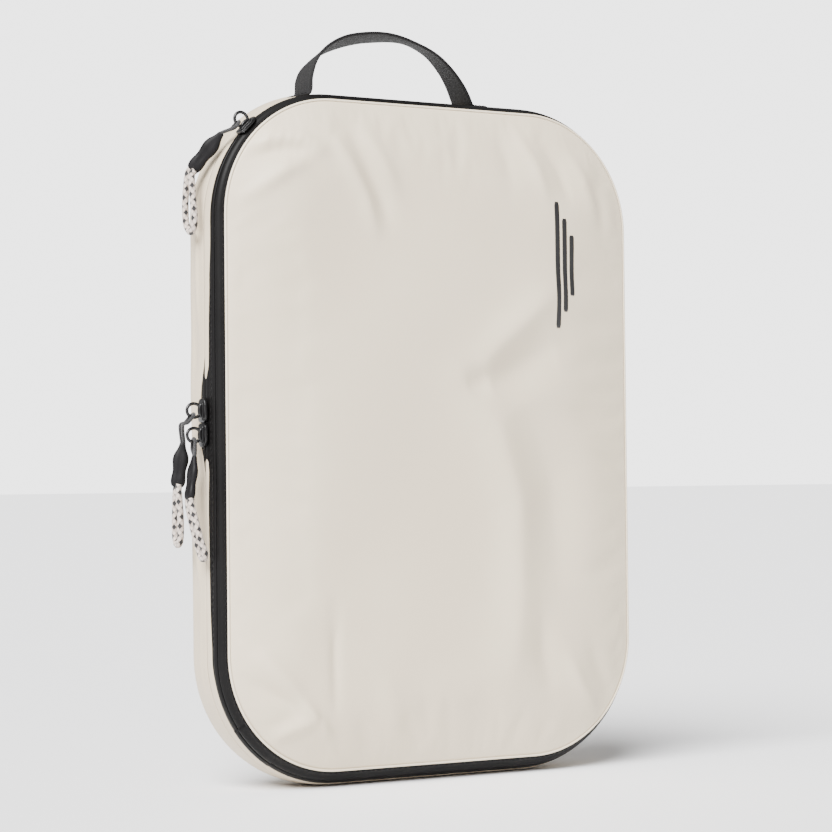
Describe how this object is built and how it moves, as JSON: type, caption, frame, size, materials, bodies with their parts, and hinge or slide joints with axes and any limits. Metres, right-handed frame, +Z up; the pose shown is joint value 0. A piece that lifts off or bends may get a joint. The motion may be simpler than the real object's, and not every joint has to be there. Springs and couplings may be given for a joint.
{
  "type": "packing cube",
  "caption": "Soft rectangular zip-up case with rounded corners, a lid hinged on one side, a compression zipper with a folded gusset, corded zipper pulls and a top webbing handle.",
  "frame": {"origin": "middle of the flat stretch of the base that the case stands on", "axes": "+X to the hinge side seen from the front, +Y to the back, +Z up"},
  "size_m": [0.2726, 0.0597, 0.398],
  "materials": {
    "panel_fabric": "coated nylon, matte satin",
    "edge_trim": "turned fabric edge",
    "gusset_fabric": "coated nylon, matte satin",
    "lining_fabric": "light ripstop lining",
    "zipper_tape": "coated zipper tape, smooth",
    "zipper_coil": "nylon coil",
    "binding_tape": "woven binding tape",
    "slider_metal": "black lacquered zinc",
    "pull_rubber": "soft matte moulding",
    "link_cord": "thin braided link",
    "fleck_cord": "braided cord, pale with dark flecks",
    "webbing": "narrow woven webbing",
    "print_ink": "flat printed mark"
  },
  "bodies": {
    "rear_case": {"back_panel": "panel_fabric", "rear_gusset": "gusset_fabric", "rear_seam_binding": "binding_tape", "access_tape_rear": "zipper_tape", "access_coil_rear": "zipper_coil", "hinge_strip": "zipper_tape", "access_end_stops": "zipper_coil", "handle_tab_left": "webbing", "handle_tab_right": "webbing"},
    "lid_frame": {"access_tape_front": "zipper_tape", "access_coil_front": "zipper_coil", "lid_seam_binding": "binding_tape", "expansion_gusset": "lining_fabric", "compression_tape_rear": "zipper_tape", "compression_coil_rear": "zipper_coil", "zip_join_rear": "zipper_tape"},
    "lid_front": {"front_panel": "panel_fabric", "front_edge_trim": "edge_trim", "compression_tape_front": "zipper_tape", "compression_coil_front": "zipper_coil", "zip_join_front": "zipper_tape", "front_mark": "print_ink"},
    "upper_slider": {"upper_slider": "slider_metal", "upper_slider_post": "slider_metal"},
    "upper_pull": {"upper_pull_link": "link_cord", "upper_pull": "pull_rubber", "upper_cord_loop": "fleck_cord"},
    "lower_slider": {"lower_slider": "slider_metal", "lower_slider_post": "slider_metal"},
    "lower_pull": {"lower_pull_link": "link_cord", "lower_pull": "pull_rubber", "lower_cord_loop": "fleck_cord"},
    "compression_slider": {"compression_slider": "slider_metal", "compression_slider_post": "slider_metal"},
    "compression_pull": {"compression_pull_link": "link_cord", "compression_pull": "pull_rubber", "compression_cord_loop": "fleck_cord"},
    "handle": {"handle_webbing": "webbing"}
  },
  "joints": [
    {"name": "lid_hinge", "type": "hinge", "parent": "rear_case", "child": "lid_frame", "pos_m": [0.1293, -0.0103, 0.182], "axis": [0, 0, 1], "range_deg": [0, 170]},
    {"name": "compression_expand", "type": "slide", "parent": "lid_frame", "child": "lid_front", "axis": [0, -1, 0], "range_m": [0, 0.045]},
    {"name": "upper_slider_travel", "type": "slide", "parent": "rear_case", "child": "upper_slider", "axis": [0, 0, 1], "range_m": [0, 0.085]},
    {"name": "lower_slider_travel", "type": "slide", "parent": "rear_case", "child": "lower_slider", "axis": [0, 0, -1], "range_m": [0, 0.095]},
    {"name": "compression_slider_travel", "type": "hinge", "parent": "lid_frame", "child": "compression_slider", "pos_m": [-0.06, -0.0156, 0.295], "axis": [0, 1, 0], "range_deg": [-8, 38]},
    {"name": "upper_pull_swing", "type": "hinge", "parent": "upper_slider", "child": "upper_pull", "pos_m": [-0.1348, -0.006, 0.19455], "axis": [0, 1, 0], "range_deg": [0, 80]},
    {"name": "lower_pull_swing", "type": "hinge", "parent": "lower_slider", "child": "lower_pull", "pos_m": [-0.1348, -0.006, 0.18195], "axis": [0, 1, 0], "range_deg": [0, 85]},
    {"name": "compression_pull_swing", "type": "hinge", "parent": "compression_slider", "child": "compression_pull", "pos_m": [-0.11236, -0.0156, 0.34489], "axis": [0, 1, 0], "range_deg": [0, 95]},
    {"name": "handle_fold", "type": "hinge", "parent": "rear_case", "child": "handle", "pos_m": [-0.0175, 0, 0.3762], "axis": [1, 0, 0], "range_deg": [-80, 80]}
  ]
}
